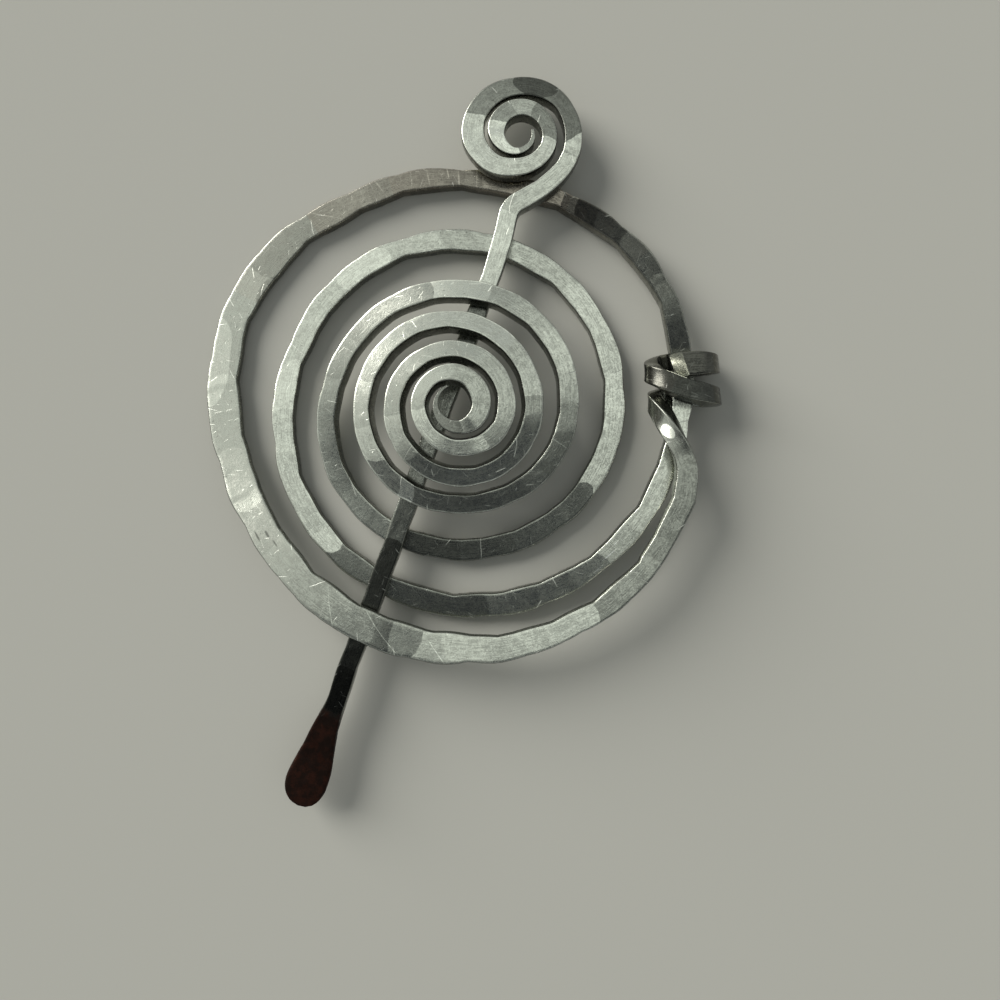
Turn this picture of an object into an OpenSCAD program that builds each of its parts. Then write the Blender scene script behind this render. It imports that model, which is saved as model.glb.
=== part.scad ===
// Shawl pin of hammered wire: a spiral brooch with a raised dome, and the loose stick pin that closes it.
// Millimetres. The brooch lies on z = 0 with the middle of its spiral over the origin, seen from above
// with its turns running anticlockwise, and the stick pin runs along Y with its head at +Y.

/* [Wire] */
// Diameter of the round wire that both pieces are hammered from
wire_gauge = 3.2; // [2.8:0.1:3.4]
// Share of the wire's section that is left after hammering has drawn it out
drawn_share = 0.92; // [0.85:0.01:0.95]
// Thickest that a hammered stretch is left
thick_limit = 2.8; // [2.6:0.1:3]
// Share of a band's width that is flat on its top and underside
flat_share = 0.92; // [0.8:0.01:0.94]
// How far the hammer blows make a band's width swell and shrink
hammer_swell = 0.1; // [0:0.02:0.2]

/* [Brooch] */
// Step between the sections along the small turns, degrees
dome_step = 9; // [6:1:12]
// Step between the sections along the open turns and the outer ring, degrees
ring_step = 5; // [4:1:8]
// Sections for each row of the wrapped end's table
wrap_steps = 3; // [2:1:4]

/* [Stick pin] */
// Height of the straight shaft's middle above the surface
pin_height = 4; // [3.95:0.05:4.05]
// Distance of the shaft beside the middle of the spiral, to the left
pin_offset = 2.05; // [1.75:0.1:2.35]
// Step between the sections of the spiral head, degrees
head_step = 12; // [8:1:15]
// Colour of the aluminium
metal_colour = "#c3c9c5"; // ["#c3c9c5", "#aab2b3", "#d5d8d4"]

/* [Hidden] */

// A band's section keeps the wire's own area, so a wider band is a thinner one
section_fill = 0.98;
section_area = drawn_share * PI * wire_gauge * wire_gauge / 4;
function thickness(width) = min(thick_limit, section_area / (section_fill * width));

// Outline of a band across its width: x is a share of the half width, y a share of the half thickness
SHOULDER = [0.985, 0.7];
PROFILE = [
    [flat_share, 1], SHOULDER, [1, 0], [SHOULDER.x, -SHOULDER.y], [flat_share, -1],
    [-flat_share, -1], [-SHOULDER.x, -SHOULDER.y], [-1, 0], [-SHOULDER.x, SHOULDER.y], [-flat_share, 1]
];

// The dome leans a little: how far each millimetre of height shifts a turn's middle
dome_lean = [0.087, -0.087];
lean_from = 3;

// Turns of the brooch. Columns: angle travelled, radius of the band's middle, its width,
// the height of its lowest edge, and the tilt of its face, outward where positive
DOME_TURNS = [
    [135, 3.45, 0.4, 9.3, 0], [180, 3.2, 0.6, 9.5, 0], [240, 2.7, 1.4, 9.7, 2], [300, 2.65, 2.1, 9.9, 4],
    [360, 3.1, 2.9, 10, 6], [420, 3.9, 2.9, 9.9, 7], [480, 5.1, 2.6, 9.8, 8], [540, 5.5, 2.3, 9.6, 8],
    [600, 5.2, 2.3, 9.4, 8], [660, 5.6, 2.6, 9.2, 9], [720, 6.7, 2.8, 8.9, 10], [780, 7.5, 2.8, 8.6, 10],
    [840, 8.5, 2.6, 8.3, 10], [900, 9.1, 2.7, 8, 11], [960, 9.4, 2.7, 7.7, 12], [1020, 10, 2.9, 7.4, 12],
    [1080, 10.8, 3, 7.2, 12], [1140, 11.6, 3, 6.9, 12], [1200, 13, 2.8, 6.6, 12], [1260, 13.7, 2.7, 6.1, 12],
    [1320, 14.1, 2.9, 5.7, 11], [1380, 14.2, 3, 5.7, 10]
];
OPEN_TURNS = [
    [1440, 16, 3.1, 5.7, 8], [1500, 17.3, 3.1, 5.7, 8], [1560, 17.7, 3.1, 5.3, 9], [1620, 18.9, 3.1, 2.6, 9],
    [1650, 20.3, 3.1, 1, 7], [1680, 21.4, 3.2, 0.1, 2], [1740, 22.2, 3.5, 0, 0], [1800, 24, 3.4, 0, 0],
    [1860, 25.5, 3.4, 0, 0], [1920, 26.3, 3.4, 0, 0], [1980, 26.5, 3.4, 0, 0], [2040, 28.6, 3.5, 0, 0],
    [2080, 30.2, 3.7, 0.1, 2], [2100, 31.1, 4, 0.3, 3], [2130, 32.1, 3.5, 1.1, 3], [2160, 33.3, 3.3, 2.1, 2]
];
OUTER_RING = [
    [2175, 34, 3.2, 2.6, 0], [2200, 35.6, 3.2, 2.6, 0], [2215, 36.7, 3.2, 1.4, 0], [2230, 36.7, 3.2, 0.3, 0],
    [2243, 36.1, 3.2, 0, 0], [2260, 35.7, 3.2, 0, 0], [2280, 36, 3.2, 0, 0], [2300, 36, 3.7, 0, 0],
    [2320, 37.1, 4.8, 0.1, 2], [2335, 37.3, 4.7, 0.2, 2], [2350, 36.9, 4.9, 0.5, 2], [2365, 35.9, 5.2, 1, 2],
    [2380, 35.2, 5, 2.1, 0], [2400, 34.8, 4.8, 4.3, 0], [2415, 35.1, 5.2, 5.4, 0], [2430, 35.5, 5.1, 5.8, 0],
    [2445, 35.8, 5, 5.8, 0], [2460, 36.4, 4.2, 5.7, 0], [2475, 36.6, 3.7, 5.6, 0], [2490, 36.9, 3.5, 5.6, 0],
    [2515, 36.6, 3.5, 5.6, 0]
];
TURNS = concat(DOME_TURNS, OPEN_TURNS, OUTER_RING);
dome_end = DOME_TURNS[len(DOME_TURNS) - 1][0];
ring_end = 2508;

// Where the wire's end wraps round the start of the outer ring, and the way the ring runs there
wrap_radius = 34.7;
wrap_angle = 25.6;
wrap_heading = 26.6;
wrap_middle = wrap_radius * [cos(wrap_angle), sin(wrap_angle), 0];
wrap_along = [-sin(wrap_heading), cos(wrap_heading), 0];
wrap_across = [cos(wrap_heading), sin(wrap_heading), 0];

// The wrapped end. Columns: place along and across the ring's start, height, width, thickness,
// how far the wire has gone round the ring's start, and the lean of its face, both in degrees
WRAP = [
    [-17.3, -2.5, 6.8, 3.5, 2.3, 0, 0], [-13.4, -1.6, 6.8, 3.3, 2.3, 0, 0],
    [-11, -1.7, 6.8, 3.1, 2.3, 4, -4], [-8.7, -2.3, 6.8, 3, 2.3, 12, -10],
    [-6.3, -3.2, 6.5, 2.9, 2.3, 30, -10], [-3.9, -4, 5.5, 2.8, 2.3, 60, 0],
    [-1.9, -4.4, 3.8, 2.8, 2.2, 90, 0], [-1, -2.9, 1.5, 2.8, 2.2, 140, 0],
    [-1.3, 0.7, 1.2, 2.9, 2.2, 180, 0], [-2, 3.6, 1.6, 2.8, 2.2, 225, 0],
    [-2.3, 4.5, 3.8, 2.8, 2.3, 270, 0], [-2.1, 3.1, 6.1, 2.7, 2.3, 325, 5],
    [-0.9, 0, 6.7, 2.7, 2.3, 360, 12], [0.5, -2.6, 6.4, 2.7, 2.3, 375, 12],
    [1.9, -4.2, 5.1, 2.7, 2.3, 415, 5], [2.9, -4.3, 3.4, 2.7, 2.2, 460, 0],
    [4, -2.8, 1.5, 2.8, 2.2, 510, 0], [4.1, 1, 1.2, 2.9, 2.2, 540, 0],
    [3.2, 4, 1.6, 2.9, 2.2, 585, 0], [2.6, 4.8, 3.9, 3, 2.2, 630, 0],
    [2.6, 3.7, 6, 3.1, 2.3, 680, 0], [2.7, 1.8, 6.6, 3.2, 2.3, 715, 0],
    [2.7, -0.7, 6.6, 3.1, 2.2, 720, 0]
];

// Length of the stick pin, from its broad tip through the shaft into the S-shaped neck.
// Columns: place along the shaft, place beside it, width, thickness
SHAFT = [
    [-65.3, 0.5, 1.4, 0.9], [-64.9, 0.45, 3.4, 1.1], [-64, 0.3, 5.1, 1.2], [-62.8, 0.1, 6.2, 1.2],
    [-61.6, 0, 6.5, 1.2], [-59.6, 0, 6.2, 1.2], [-57, -0.1, 5.4, 1.3], [-54.2, -0.1, 4.5, 1.6],
    [-51, 0, 3.5, 2.1], [-48.4, 0.1, 3, 2.4], [-43.4, 0, 3.1, 2.5], [-38, 0, 3, 2.5], [-20, 0, 3, 2.5],
    [0, 0, 3, 2.5], [22, 0, 3, 2.5], [26.4, -0.2, 3, 2.5], [29, -0.5, 3, 2.5], [30.8, -0.6, 3.1, 2.5],
    [32.2, -0.1, 3.1, 2.5], [33.4, 0.85, 3.1, 2.5], [36.4, 3.1, 3, 2.5], [39.7, 4.85, 2.8, 2.5],
    [42.1, 5.2, 2.7, 2.5]
];
// Step between the shaft's sections, from the place along it where each starts
SHAFT_STEPS = [[-65.3, 0.4], [-62.5, 1.5], [-48, 4], [22, 1.2], [42.1, 1.2]];

// Spiral head about its own middle. Columns: angle travelled, radius of the band's middle, width
head_middle = [-3.15, 42.15];
HEAD = [
    [0, 8.35, 2.7], [15, 8.25, 2.7], [60, 7.95, 2.8], [107, 7.5, 2.9], [155, 7.35, 3.3], [200, 7.05, 3.6],
    [240, 6, 3.3], [278, 5, 2.9], [330, 4.65, 2.6], [377, 4.6, 2.4], [420, 4.45, 2.5], [465, 4.15, 2.7],
    [510, 3.95, 2.8], [550, 3.65, 2.8], [590, 3, 2], [628, 2.6, 1.3], [680, 2.2, 0.9], [760, 2.1, 0.4]
];

// Smooth reading of a table at x: each row's slope comes from its neighbours
function row_below(table, x, i = 0) =
    i >= len(table) - 2 || table[i + 1][0] > x ? i : row_below(table, x, i + 1);
function slope(table, i) =
    let (a = table[max(i - 1, 0)], b = table[min(i + 1, len(table) - 1)]) (b - a) / (b[0] - a[0]);
function smooth_row(table, x) =
    let (i = row_below(table, x), a = table[i], b = table[i + 1], span = b[0] - a[0], u = (x - a[0]) / span)
    a * (2 * u * u * u - 3 * u * u + 1) + b * (3 * u * u - 2 * u * u * u)
    + slope(table, i) * span * (u * u * u - 2 * u * u + u) + slope(table, i + 1) * span * (u * u * u - u * u);

// The hammer's blows come at even lengths of wire, and the length grows with the square of the angle
last_turn = 2520;
function blow(angle) =
    let (length_share = pow(angle / last_turn, 2))
    sin(360 * 119 * length_share) + 0.7 * sin(360 * 83 * length_share);

function unit(v) = v / norm(v);

// A section of the wire is [middle, way its face looks, width, thickness]
function turn_section(angle) =
    let (
        row = smooth_row(TURNS, angle),
        outward = [cos(angle), sin(angle), 0],
        width = row[2] * (1 + hammer_swell * blow(angle) / 3.5),
        thick = thickness(row[2]),
        tilt = row[4],
        height = max(row[3], 0) + thick / 2 * cos(tilt) + width / 2 * abs(sin(tilt)),
        lean = (height - lean_from) * dome_lean
    )
    [row[1] * outward + [lean.x, lean.y, height], outward * sin(tilt) + [0, 0, cos(tilt)], width, thick];

// The same for the wrapped end, whose face looks away from the ring's start as the wire goes round it
WRAP_ROWS = [for (i = [0 : len(WRAP) - 1]) concat([i], WRAP[i])];
function wrap_section(i) =
    let (
        row = smooth_row(WRAP_ROWS, i),
        middle = wrap_middle + row[1] * wrap_along + row[2] * wrap_across + [0, 0, row[3]],
        away = -sin(row[6]) * wrap_across + [0, 0, cos(row[6])]
    )
    [middle, away + wrap_along * tan(row[7]), row[4], row[5]];

function shaft_section(place) =
    let (row = smooth_row(SHAFT, place)) [[row[1], row[0], 0], [0, 0, 1], row[2], row[3]];

function head_section(angle) =
    let (row = smooth_row(HEAD, angle))
    [[head_middle.x + row[1] * cos(angle), head_middle.y + row[1] * sin(angle), 0],
     [0, 0, 1], row[2], thickness(row[2])];

// The points of one section, square to the wire's run there
function section_points(sections, i) =
    let (
        s = sections[i],
        run = unit(sections[min(i + 1, len(sections) - 1)][0] - sections[max(i - 1, 0)][0]),
        side = unit(cross(run, s[1])),
        up = cross(side, run)
    )
    [for (p = PROFILE) s[0] + side * p.x * s[2] / 2 + up * p.y * s[3] / 2];

// One closed body through all the sections, with a flat end at each end of the wire
module wire(sections) {
    sides = len(PROFILE);
    last = (len(sections) - 1) * sides;
    points = [for (i = [0 : len(sections) - 1]) each section_points(sections, i)];
    walls = [
        for (i = [0 : len(sections) - 2], j = [0 : sides - 1])
            let (a = i * sides + j, b = i * sides + (j + 1) % sides)
            each [[a, b + sides, b], [a, a + sides, b + sides]]
    ];
    first_end = [[for (j = [0 : sides - 1]) j]];
    last_end = [[for (j = [0 : sides - 1]) last + sides - 1 - j]];
    polyhedron(points = points, faces = concat(walls, first_end, last_end), convexity = 20);
}

// The brooch: dome, open turns, outer ring and wrapped end, all one wire
module spiral_wire() {
    turns = concat(
        [for (a = [DOME_TURNS[0][0] : dome_step : dome_end - 1]) turn_section(a)],
        [for (a = [dome_end : ring_step : ring_end]) turn_section(a)]
    );
    wrap = [for (i = [0 : 1 / wrap_steps : len(WRAP) - 1]) wrap_section(i)];
    color(metal_colour) wire(concat(turns, wrap));
}

// The stick pin: broad tip, shaft, S-shaped neck and spiral head, all one wire
module stick_pin() {
    shaft = [
        for (k = [0 : len(SHAFT_STEPS) - 2])
            let (from = SHAFT_STEPS[k][0], step = SHAFT_STEPS[k][1], to = SHAFT_STEPS[k + 1][0])
            for (place = [from : step : to - 0.1]) shaft_section(place)
    ];
    head = [for (a = [0 : head_step : HEAD[len(HEAD) - 1][0]]) head_section(a)];
    color(metal_colour) translate([-pin_offset, 0, pin_height]) wire(concat(shaft, head));
}

spiral_wire();
stick_pin();
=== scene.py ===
"""Shawl pin of hammered aluminium wire: a spiral brooch with a raised dome, and its loose stick.

Each wire is swept along its guide by a Geometry Nodes tree, which also lays the hammer's blows on it.
Lengths in the tables are millimetres, and every piece is made in metres.
"""

import bisect
import math
import random

import bpy
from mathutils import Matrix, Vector


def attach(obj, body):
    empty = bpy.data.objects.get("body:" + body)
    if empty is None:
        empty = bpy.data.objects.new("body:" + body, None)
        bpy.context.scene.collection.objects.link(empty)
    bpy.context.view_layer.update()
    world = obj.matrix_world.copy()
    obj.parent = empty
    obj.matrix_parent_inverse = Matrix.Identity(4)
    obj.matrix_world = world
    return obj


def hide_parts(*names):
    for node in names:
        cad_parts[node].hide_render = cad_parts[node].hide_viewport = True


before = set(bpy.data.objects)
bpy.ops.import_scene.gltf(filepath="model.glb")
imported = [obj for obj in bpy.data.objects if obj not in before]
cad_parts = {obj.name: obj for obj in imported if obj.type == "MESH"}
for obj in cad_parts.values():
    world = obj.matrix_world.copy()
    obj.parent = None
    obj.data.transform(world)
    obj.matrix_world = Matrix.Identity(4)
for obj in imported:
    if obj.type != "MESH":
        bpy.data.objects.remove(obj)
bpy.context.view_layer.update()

bl_info = {
    "name": "Hammered Wire Shawl Pin",
    "version": (1, 0, 0),
    "blender": (4, 5, 0),
    "location": "3D View > Sidebar > Shawl Pin",
    "description": "Builds a spiral brooch of hammered wire and its stick pin",
    "category": "Add Mesh",
}

MM = 0.001


def filled(columns, rows):
    """Gives back the zeros that the rows of a table leave out at their ends."""
    return [row + (0,) * (columns - len(row)) for row in rows]


# The photograph's right and upper side
PHOTO_TURN = math.radians(20)
RIGHT = Vector((math.cos(PHOTO_TURN), math.sin(PHOTO_TURN), 0))
UPWARD = Vector((-math.sin(PHOTO_TURN), math.cos(PHOTO_TURN), 0))

# The wire that both pieces are hammered from: the share of its round section that is left once it is
# drawn out, and the share of its width times its thickness that a band with rounded edges fills
WIRE_GAUGE = 3.2
DRAWN_SHARE = 0.92
SECTION_FILL = 0.98
SECTION_AREA = DRAWN_SHARE * math.pi * WIRE_GAUGE**2 / 4
THICK_LIMIT = 2.8

# Turns of the brooch. Columns: angle travelled, radius of the band's middle, its width,
# the height of its lowest edge, and the tilt of its face, outward where positive
TURNS = filled(5, [
    (135, 3.45, 0.4, 9.3), (180, 3.2, 0.6, 9.5), (240, 2.7, 1.4, 9.7, 2), (300, 2.65, 2.1, 9.9, 4),
    (360, 3.1, 2.9, 10, 6), (420, 3.9, 2.9, 9.9, 7), (480, 5.1, 2.6, 9.8, 8), (540, 5.5, 2.3, 9.6, 8),
    (600, 5.2, 2.3, 9.4, 8), (660, 5.6, 2.6, 9.2, 9), (720, 6.7, 2.8, 8.9, 10), (780, 7.5, 2.8, 8.6, 10),
    (840, 8.5, 2.6, 8.3, 10), (900, 9.1, 2.7, 8, 11), (960, 9.4, 2.7, 7.7, 12), (1020, 10, 2.9, 7.4, 12),
    (1080, 10.8, 3, 7.2, 12), (1140, 11.6, 3, 6.9, 12), (1200, 13, 2.8, 6.6, 12),
    (1260, 13.7, 2.7, 6.1, 12), (1320, 14.1, 2.9, 5.7, 11), (1380, 14.2, 3, 5.7, 10),
    (1440, 16, 3.1, 5.7, 8), (1500, 17.3, 3.1, 5.7, 8), (1560, 17.7, 3.1, 5.3, 9),
    (1620, 18.9, 3.1, 2.6, 9), (1650, 20.3, 3.1, 1, 7), (1680, 21.4, 3.2, 0.1, 2), (1740, 22.2, 3.5),
    (1800, 24, 3.4), (1860, 25.5, 3.4), (1920, 26.3, 3.4), (1980, 26.5, 3.4), (2040, 28.6, 3.5),
    (2080, 30.2, 3.7, 0.1, 2), (2100, 31.1, 4, 0.3, 3), (2130, 32.1, 3.5, 1.1, 3),
    (2160, 33.3, 3.3, 2.1, 2), (2175, 34, 3.2, 2.6), (2200, 35.6, 3.2, 2.6), (2215, 36.7, 3.2, 1.4),
    (2230, 36.7, 3.2, 0.3), (2243, 36.1, 3.2), (2260, 35.7, 3.2), (2280, 36, 3.2), (2300, 36, 3.7),
    (2320, 37.1, 4.8, 0.1, 2), (2335, 37.3, 4.7, 0.2, 2), (2350, 36.9, 4.9, 0.5, 2),
    (2365, 35.9, 5.2, 1, 2), (2380, 35.2, 5, 2.1), (2400, 34.8, 4.8, 4.3), (2415, 35.1, 5.2, 5.4),
    (2430, 35.5, 5.1, 5.8), (2445, 35.8, 5, 5.8), (2460, 36.4, 4.2, 5.7), (2475, 36.6, 3.7, 5.6),
    (2490, 36.9, 3.5, 5.6), (2515, 36.6, 3.5, 5.6),
])
RING_END = 2508

# The dome leans a little: how far each millimetre above a height shifts a turn's middle
DOME_LEAN = Vector((0.087, -0.087))
LEAN_FROM = 3

# Where the wire's end wraps round the start of the ring, and the way the ring runs there
WRAP_PLACE = (34.7, 25.6)
WRAP_HEADING = 26.6

# The wrapped end. Columns: place along and across the ring's start, height, width, thickness,
# how far the wire has gone round the ring's start, and the lean of its face, both in degrees
WRAP = filled(7, [
    (-17.3, -2.5, 6.8, 3.5, 2.3), (-13.4, -1.6, 6.8, 3.3, 2.3), (-11, -1.7, 6.8, 3.1, 2.3, 4, -4),
    (-8.7, -2.3, 6.8, 3, 2.3, 12, -10), (-6.3, -3.2, 6.5, 2.9, 2.3, 30, -10),
    (-3.9, -4, 5.5, 2.8, 2.3, 60), (-1.9, -4.4, 3.8, 2.8, 2.2, 90), (-1, -2.9, 1.5, 2.8, 2.2, 140),
    (-1.3, 0.7, 1.2, 2.9, 2.2, 180), (-2, 3.6, 1.6, 2.8, 2.2, 225), (-2.3, 4.5, 3.8, 2.8, 2.3, 270),
    (-2.1, 3.1, 6.1, 3, 2.3, 325, 5), (-0.9, 0, 6.7, 3.2, 2.3, 360, 8),
    (0.5, -2.6, 6.4, 3.2, 2.3, 375, 8), (1.9, -4.2, 5.1, 3, 2.3, 415, 5),
    (2.9, -4.3, 3.4, 2.7, 2.2, 460), (4, -2.8, 1.5, 2.8, 2.2, 510), (4.1, 1, 1.2, 2.9, 2.2, 540),
    (3.2, 4, 1.6, 2.9, 2.2, 585), (2.6, 4.8, 3.9, 3, 2.2, 630), (2.6, 3.7, 6, 3.3, 2.3, 680),
    (2.8, 1.8, 6.6, 3.7, 2.3, 715), (2.9, -0.7, 6.6, 3.6, 2.2, 720),
])

# The stick. Columns: place along the shaft, place beside it, width, thickness
SHAFT = [
    (-65.3, 0.5, 1.4, 0.9), (-64.9, 0.45, 3.4, 1.1), (-64, 0.3, 5.1, 1.2), (-62.8, 0.1, 6.2, 1.2),
    (-61.6, 0, 6.5, 1.2), (-59.6, 0, 6.2, 1.2), (-57, -0.1, 5.4, 1.3), (-54.2, -0.1, 4.5, 1.6),
    (-51, 0, 3.5, 2.1), (-48.4, 0.1, 3, 2.4), (-43.4, 0, 3.1, 2.5), (-38, 0, 3, 2.5), (-20, 0, 3, 2.5),
    (0, 0, 3, 2.5), (22, 0, 3, 2.5), (26.4, -0.2, 3, 2.5), (29, -0.5, 3, 2.5), (30.8, -0.6, 3.1, 2.5),
    (32.2, -0.1, 3.1, 2.5), (33.4, 0.85, 3.1, 2.5), (36.4, 3.1, 3, 2.5), (39.7, 4.85, 2.8, 2.5),
    (42.1, 5.2, 2.7, 2.5),
]
STICK_PLACE = Vector((-2.05, 0, 4))

# Spiral head about its own middle. Columns: angle travelled, radius of the band's middle, width
HEAD_MIDDLE = (-3.15, 42.15)
HEAD = [
    (0, 8.35, 2.7), (15, 8.25, 2.7), (60, 7.95, 2.8), (107, 7.5, 2.9), (155, 7.35, 3.3), (200, 7.05, 3.6),
    (240, 6, 3.3), (278, 5, 2.9), (330, 4.65, 2.6), (377, 4.6, 2.4), (420, 4.45, 2.5), (465, 4.15, 2.7),
    (510, 3.95, 2.8), (550, 3.65, 2.8), (590, 3, 2), (628, 2.6, 1.3), (680, 2.2, 0.9), (760, 2.1, 0.4),
]

# A band's right-hand shoulder, from the edge of its flat top round to the middle of its side. Columns:
# share of the half width, share of the half thickness
SHOULDER = [(0.87, 1), (0.905, 0.975), (0.935, 0.92), (0.962, 0.82), (0.983, 0.65), (0.995, 0.35), (1, 0)]
UNDER_CELLS = 4

# How far apart a guide's points are: in degrees on the small turns, on the other turns and on the head,
# in millimetres on the shaft, and in rows of the table on the wrap
SMALL_TURNS_END = 900
SMALL_TURN_STEP, TURN_STEP, HEAD_STEP = 3, 1, 3
SHAFT_STEP = 0.3
WRAP_STEP = 0.1

# The blows spread the edges. The turns get wider and narrower as a whole, by a share of their width, in
# two runs of scallops. Each edge then has its own, in millimetres, more on the outer turns
CLOSE_SCALLOPS, WIDE_SCALLOPS = 119, 83
SPREAD_SHARE = 0.1
INNER_SWELL, ADDED_SWELL = 0.06, 0.19
SWELL_FROM, SWELL_OVER, SWELL_END = 1400, 800, 2500
WRAP_SWELL = 0.1
STICK_SWELL = 0.12

# Facets that the hammer left on the face, in the order in which the wire runs. Columns: where each one
# starts, how bright it is painted, how far its border bulges and slants in millimetres, its tilt upward
# and to the right, along UPWARD and RIGHT, and how brown it is. The brightness is partly the metal's own
# dulling and mostly painted reflection and painted shade: dark where a facet mirrors the dark room or lies
# in shadow, and dark on the wrap where the lamp's glint would show.
TURN_FACETS = filled(7, [
    (135, 0.4), (300, 0.75, 0.3), (560, 1, 0.2, 0, 0.03), (595, 0.9, 0.3, 0, 0.05),
    (640, 0.85, 0.2, 0, 0.07), (690, 0.7, 0.2, 0, 0.04), (740, 0.74, 0.2), (925, 0.75, 0.3, 0, 0.06),
    (947, 0.65, 0.4, 0.3, 0.04), (965, 0.66, 0.5, -0.3, -0.03), (1000, 0.74, 0.4, 0, -0.03),
    (1040, 0.63, 0.4, 0, -0.03), (1094, 0.62, 0.3, 0.6), (1108, 0.81, 0.3, 0, 0.02), (1130, 0.8, 0.3, 0.3),
    (1150, 0.9, -0.3, 0.3, 0.02), (1210, 0.82, 0.3), (1240, 0.6, 0.3, 0, 0.02), (1262, 0.72, 0.4, 0, 0.04),
    (1290, 0.77, 0.4, 0, 0.07), (1312, 0.8, 0.3, -0.9, -0.06), (1333, 1.2, 0.3, 0.5, -0.04),
    (1342, 0.46, 0.3, 0.4, -0.06), (1385, 0.54, 0.5, 0, -0.04), (1422, 0.5, 0.4, 0.4, -0.03),
    (1447, 0.6, 0.3, 0.5), (1462, 0.85, 0.4, 0.2), (1500, 0.78, 0.4), (1535, 0.88, -0.4),
    (1562, 0.6, -0.4), (1580, 0.52, 0.4, 0.2), (1605, 0.55, 0.4, 0.2), (1625, 0.75, 0.4, 0.2),
    (1648, 0.8, 0.5, 0.3), (1670, 0.75, 0.5, -0.3), (1690, 0.65, 0.5, 0.3), (1708, 0.23, 0, 0, -0.05),
    (1730, 0.39, 0.5, 0.3, -0.05), (1752, 0.47, 0.4, 0.4, -0.07), (1787, 0.85, 1.4, 0, 0.09),
    (1794, 0.8, 0.5, 0.5, 0.03), (1812, 0.98, 0.6, 0.3), (1850, 0.98, 1, 1.2), (1866, 0.84, 0.8, -0.6),
    (1900, 0.8), (1914, 0.95, 0.8, 0.5), (1936, 1.08, -1.2, 0.4), (1952, 0.95, 0.8), (1986, 1.08, -1.2, 1),
    (2020, 0.95, 0.8, 0, 0.02), (2040, 1.05, 0.8, 0, 0.04), (2048, 0.55, 1, -0.6, -0.02),
    (2070, 0.5, 0, 0, -0.05), (2098, 0.65, 0.6, 0.3, -0.03), (2113, 0.75, 0.4), (2124, 0.8, 0.4, 0, 0.04),
    (2134, 0.85, 0.4, 0.4, 0.09), (2145, 0.95, 0.6, 0.5, 0.13), (2180, 0.5, 0.3),
    (2190, 0.45, 0, 0, -0.28, 0.09, 0.05), (2213, 0.45, 0.5, 0, -0.3, 0.16, 0.1),
    (2225, 0.3, 0.4, 0.2, -0.34, 0.16, 0.2), (2233, 0.2, 0.4, 0.4, -0.34, 0.12, 0.3),
    (2239, 0.35, 0.3, 0.3, -0.3, 0.1, 0.5), (2243, 0.4, 0, 0, -0.1, 0.05, 0.7),
    (2251, 0.45, 0, 0, 0, 0, 0.6), (2263, 0.42, 0.4, 0, 0, 0, 0.6), (2281, 0.5, 0.3, 0.2, 0, 0, 0.45),
    (2301, 0.56, 0.6, 0.3, 0, 0, 0.15), (2325, 0.66, 0.5, 0.3), (2340, 0.72, 0.8, 0.4),
    (2362, 0.78, -0.8, 0.3), (2385, 0.68, 0.8), (2427, 0.57, 1.6, 0.8), (2434, 0.75, -0.4, 0.3, 0.06),
    (2440, 0.85, 0.6, -0.6, 0.09), (2447, 0.98, -0.5, 0.4, 0.13), (2467, 0.95, 0.5, 0.3, 0.1),
    (2484, 0.7, 0.4, -0.3, 0.04), (2495, 0.65, 0.3, 0.2, 0.05), (2502, 0.5, 0.4, 0.3, 0.05),
    (2540, 0.5, 0.3), (2566, 0.5, 0.2, 0.2), (2616, 0.12, 0.2), (2657, 0.14, 0.3, 0.3, 0, 0, 0.2),
    (2714, 0.17, 0.2),
])
# On the stick the dark rows along the shaft are painted reflection and painted shadow, darkest beneath the
# dome from 5 to 17.5; the dark rows on the head are painted reflection and painted shade, and the tip's
# rows make its brown end darker.
STICK_FACETS = filled(7, [
    (-65.3, 0.05), (-48, 0.04, 0.4, 0.2), (-43, 0.08, 0.3), (-38, 0.14, 0.3, 0, -0.05),
    (-31, 0.1, 0.8, 0, -0.05), (-22.5, 0.4, 0.5, 0, -0.04), (-14, 0.4), (-2, 0.5), (5, 0.25), (17.5, 0.95),
    (24, 1, 0.3, 0.3), (30.5, 0.9, 0.2), (34, 0.95, 0.3, 0.4), (44, 0.9, 0.5, 0.5), (57, 0.27, 0.3, 0.9),
    (117, 0.15, -0.8, -0.6), (150, 0.36, 1, 0.8), (190, 0.42, 0.3), (215, 1, 0.2, 0.4), (270, 1, 0.6),
    (320, 0.95, 0.6), (370, 1, 0.5), (414, 0.42, 0.2, -0.3), (480, 0.62, 0.3), (520, 0.5, 0.3, 0.4),
    (566, 1.1, 0.2, 0.5), (690, 0.6),
])

# Where the wrap and the head begin in these two tables, and how far a row of the wrap is from the next
WRAP_FROM = 2520
WRAP_PACE = 10
HEAD_FROM = 42.1

# Length of wire that one blow takes where the table names none, in millimetres, and how far such blows
# differ: in the place, the bulge and the slant of their border, in how bright they are, and in their tilt
BLOW_PACE = 7
BORDER_CHANCE, BULGE_CHANCE, SLANT_CHANCE = 0.2, 1.2, 0.6
BRIGHT_CHANCE = (0.88, 1.08)
TILT_CHANCE = 0.02

# How bright a cut end is, and what stands in for its brown
FRESH_BRIGHT = 1.2
FRESH_CUT = -1

# Slant of the stub's cut end, across the band and down through it, and the points that it takes up
STUB_CUT = (0.25, -0.7, 0)
CUT_POINTS = 12
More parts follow.
